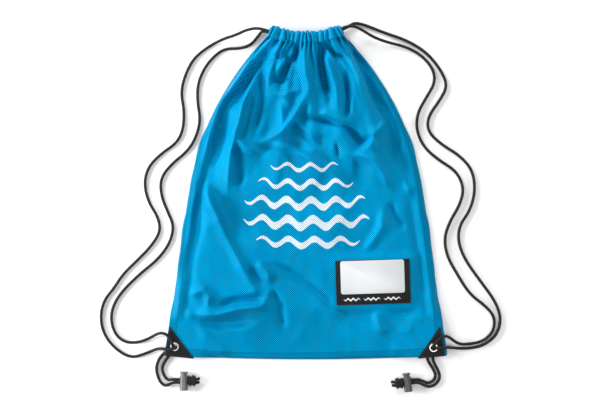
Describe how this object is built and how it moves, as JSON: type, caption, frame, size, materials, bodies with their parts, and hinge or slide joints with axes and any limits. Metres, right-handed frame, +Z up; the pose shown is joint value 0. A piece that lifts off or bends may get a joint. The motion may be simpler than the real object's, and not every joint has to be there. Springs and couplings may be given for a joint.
{
  "type": "drawstring backpack",
  "caption": "Flat mesh drawstring backpack with gathered mouth, cord straps through corner eyelets, leather corner patches, sewn label and sprung cord locks.",
  "frame": {"origin": "on the surface that the bag lies on, below the middle of the bag without its cords", "axes": "+X to the right, +Y from the bottom edge to the gathered mouth, +Z up through the front of the bag"},
  "size_m": [0.5414, 0.498, 0.0223],
  "materials": {
    "mesh_fabric": "satin",
    "cord": "matt braid",
    "patch_leather": "fine grain",
    "label_leather": "satin",
    "label_card": "satin",
    "eyelet_metal": "polished nickel",
    "lock_plastic": "moulded",
    "lock_plastic_dark": "moulded",
    "spring_steel": "drawn wire",
    "thread": "twisted"
  },
  "bodies": {
    "bag": {"front_panel": "mesh_fabric", "back_panel": "mesh_fabric", "front_tunnel": "mesh_fabric", "back_tunnel": "mesh_fabric", "left_side_seam": "mesh_fabric", "right_side_seam": "mesh_fabric", "bottom_seam": "mesh_fabric", "front_tunnel_stitching": "thread", "label_patch": "label_leather", "label_insert": "label_card", "label_stitching": "thread", "left_front_patch": "patch_leather", "left_back_patch": "patch_leather", "left_patch_stitching": "thread", "left_eyelet": "eyelet_metal", "left_eyelet_washer": "eyelet_metal", "left_outer_cord": "cord", "left_inner_cord": "cord", "left_cord_run": "cord", "left_knot": "cord", "right_front_patch": "patch_leather", "right_back_patch": "patch_leather", "right_patch_stitching": "thread", "right_eyelet": "eyelet_metal", "right_eyelet_washer": "eyelet_metal", "right_outer_cord": "cord", "right_inner_cord": "cord", "right_cord_run": "cord", "right_knot": "cord"},
    "left_lock": {"left_lock_barrel": "lock_plastic", "left_lock_spring": "spring_steel"},
    "left_button": {"left_lock_plunger": "lock_plastic"},
    "right_lock": {"right_lock_barrel": "lock_plastic_dark", "right_lock_spring": "spring_steel"},
    "right_button": {"right_lock_plunger": "lock_plastic_dark"}
  },
  "joints": [
    {"name": "left_lock_slide", "type": "slide", "parent": "bag", "child": "left_lock", "axis": [-1, 0, 0], "range_m": [0, 0.005]},
    {"name": "left_button_press", "type": "slide", "parent": "left_lock", "child": "left_button", "axis": [0, -1, 0], "range_m": [0, 0.0025], "stiffness_N_per_m": 500, "springref_m": -0.004, "deforming": ["left_lock_spring"]},
    {"name": "right_lock_slide", "type": "slide", "parent": "bag", "child": "right_lock", "axis": [0.9914, 0.1305, 0], "range_m": [0, 0.005]},
    {"name": "right_button_press", "type": "slide", "parent": "right_lock", "child": "right_button", "axis": [0.1305, -0.9914, 0], "range_m": [0, 0.0025], "stiffness_N_per_m": 500, "springref_m": -0.004, "deforming": ["right_lock_spring"]}
  ]
}
